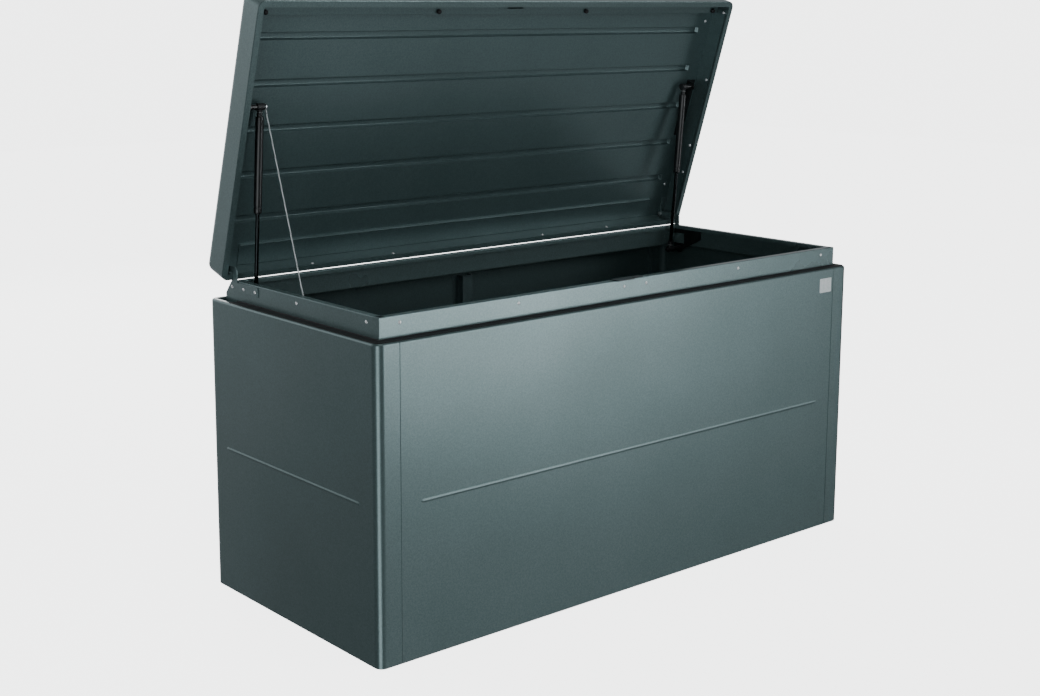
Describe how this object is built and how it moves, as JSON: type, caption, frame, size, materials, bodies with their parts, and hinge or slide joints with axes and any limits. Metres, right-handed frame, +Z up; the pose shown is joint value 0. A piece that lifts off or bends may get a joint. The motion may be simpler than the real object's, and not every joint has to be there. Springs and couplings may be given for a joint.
{
  "type": "deck storage box",
  "caption": "Garden storage box in coated sheet steel with a hinged lid held open by gas struts and a stay cable, and a cam lock.",
  "frame": {"origin": "on the ground under the centre of the walls", "axes": "+X to the right, seen from the front; +Y to the rear, where the hinges are; +Z up. The lid is open at rest"},
  "size_m": [1.604, 0.7119, 1.4698],
  "materials": {
    "grey_paint": "satin metallic powder coat",
    "dark_grey_paint": "satin metallic powder coat",
    "black_paint": "satin",
    "dark_steel_rod": "polished, nitrided",
    "zinc_steel": "bright",
    "black_plastic": "moulded",
    "black_rubber": "matt",
    "clear_sheath": "sheathed wire rope",
    "pale_plate": "blank"
  },
  "bodies": {
    "box": {"left_side_panel": "grey_paint", "right_side_panel": "grey_paint", "front_panel": "grey_paint", "rear_panel": "grey_paint", "floor_panel_left": "dark_grey_paint", "floor_panel_right": "dark_grey_paint", "base_rail_front": "dark_grey_paint", "base_rail_rear": "dark_grey_paint", "base_cross_rails": "dark_grey_paint", "feet": "black_plastic", "wall_stiffeners": "dark_grey_paint", "seam_bolts": "zinc_steel", "rim_front": "grey_paint", "rim_rear": "grey_paint", "rim_left": "grey_paint", "rim_right": "grey_paint", "rim_corner_brackets": "grey_paint", "rim_rivets": "zinc_steel", "name_plate": "pale_plate", "latch_keeper": "black_paint", "hinge_bracket_left": "grey_paint", "hinge_bracket_right": "grey_paint", "strut_anchor_left": "black_paint", "strut_anchor_right": "black_paint", "stay_cable": "clear_sheath", "stay_eye_lower": "zinc_steel"},
    "lid": {"lid_shell": "grey_paint", "lid_liner": "dark_grey_paint", "lid_front_rail": "dark_grey_paint", "lid_rear_rail": "dark_grey_paint", "lid_buffers": "black_rubber", "lid_rivets": "zinc_steel", "lid_hinge_plate_left": "grey_paint", "lid_hinge_plate_right": "grey_paint", "hinge_pin_left": "zinc_steel", "hinge_pin_right": "zinc_steel", "strut_mount_left": "black_paint", "strut_mount_right": "black_paint", "lock_housing": "zinc_steel"},
    "lock": {"lock_plug": "zinc_steel", "lock_cam": "black_paint"},
    "strut_rod_left": {"strut_rod_left": "dark_steel_rod", "strut_socket_lower_left": "black_plastic"},
    "strut_cylinder_left": {"strut_cylinder_left": "black_paint", "strut_socket_upper_left": "black_plastic", "stay_eye_upper": "zinc_steel"},
    "strut_rod_right": {"strut_rod_right": "dark_steel_rod", "strut_socket_lower_right": "black_plastic"},
    "strut_cylinder_right": {"strut_cylinder_right": "black_paint", "strut_socket_upper_right": "black_plastic"}
  },
  "joints": [
    {"name": "lid_hinge", "type": "hinge", "parent": "box", "child": "lid", "pos_m": [0, 0.338, 0.81], "axis": [1, 0, 0], "range_deg": [0, 73], "stiffness_Nm_per_rad": 19, "springref_deg": -104.85, "deforming": ["stay_cable"]},
    {"name": "lock_turn", "type": "hinge", "parent": "lid", "child": "lock", "pos_m": [0, 0.10338, 1.45771], "axis": [0, -0.2924, 0.9563], "range_deg": [0, 90]},
    {"name": "strut_swing_left", "type": "hinge", "parent": "box", "child": "strut_rod_left", "pos_m": [-0.728, 0.251, 0.715], "axis": [1, 0, 0], "range_deg": [0, 70.2]},
    {"name": "strut_slide_left", "type": "slide", "parent": "strut_rod_left", "child": "strut_cylinder_left", "axis": [0, -0.0835, 0.9965], "range_m": [-0.15204, 0]},
    {"name": "strut_swing_right", "type": "hinge", "parent": "box", "child": "strut_rod_right", "pos_m": [0.728, 0.251, 0.715], "axis": [1, 0, 0], "range_deg": [0, 70.2]},
    {"name": "strut_slide_right", "type": "slide", "parent": "strut_rod_right", "child": "strut_cylinder_right", "axis": [0, -0.0835, 0.9965], "range_m": [-0.15204, 0]}
  ],
  "couplings": [
    {"joint": "strut_swing_left", "follows": "lid_hinge", "ratio": 0.96156},
    {"joint": "strut_slide_left", "follows": "lid_hinge", "m_per_rad": -0.11925},
    {"joint": "strut_swing_right", "follows": "lid_hinge", "ratio": 0.96156},
    {"joint": "strut_slide_right", "follows": "lid_hinge", "m_per_rad": -0.11925}
  ]
}
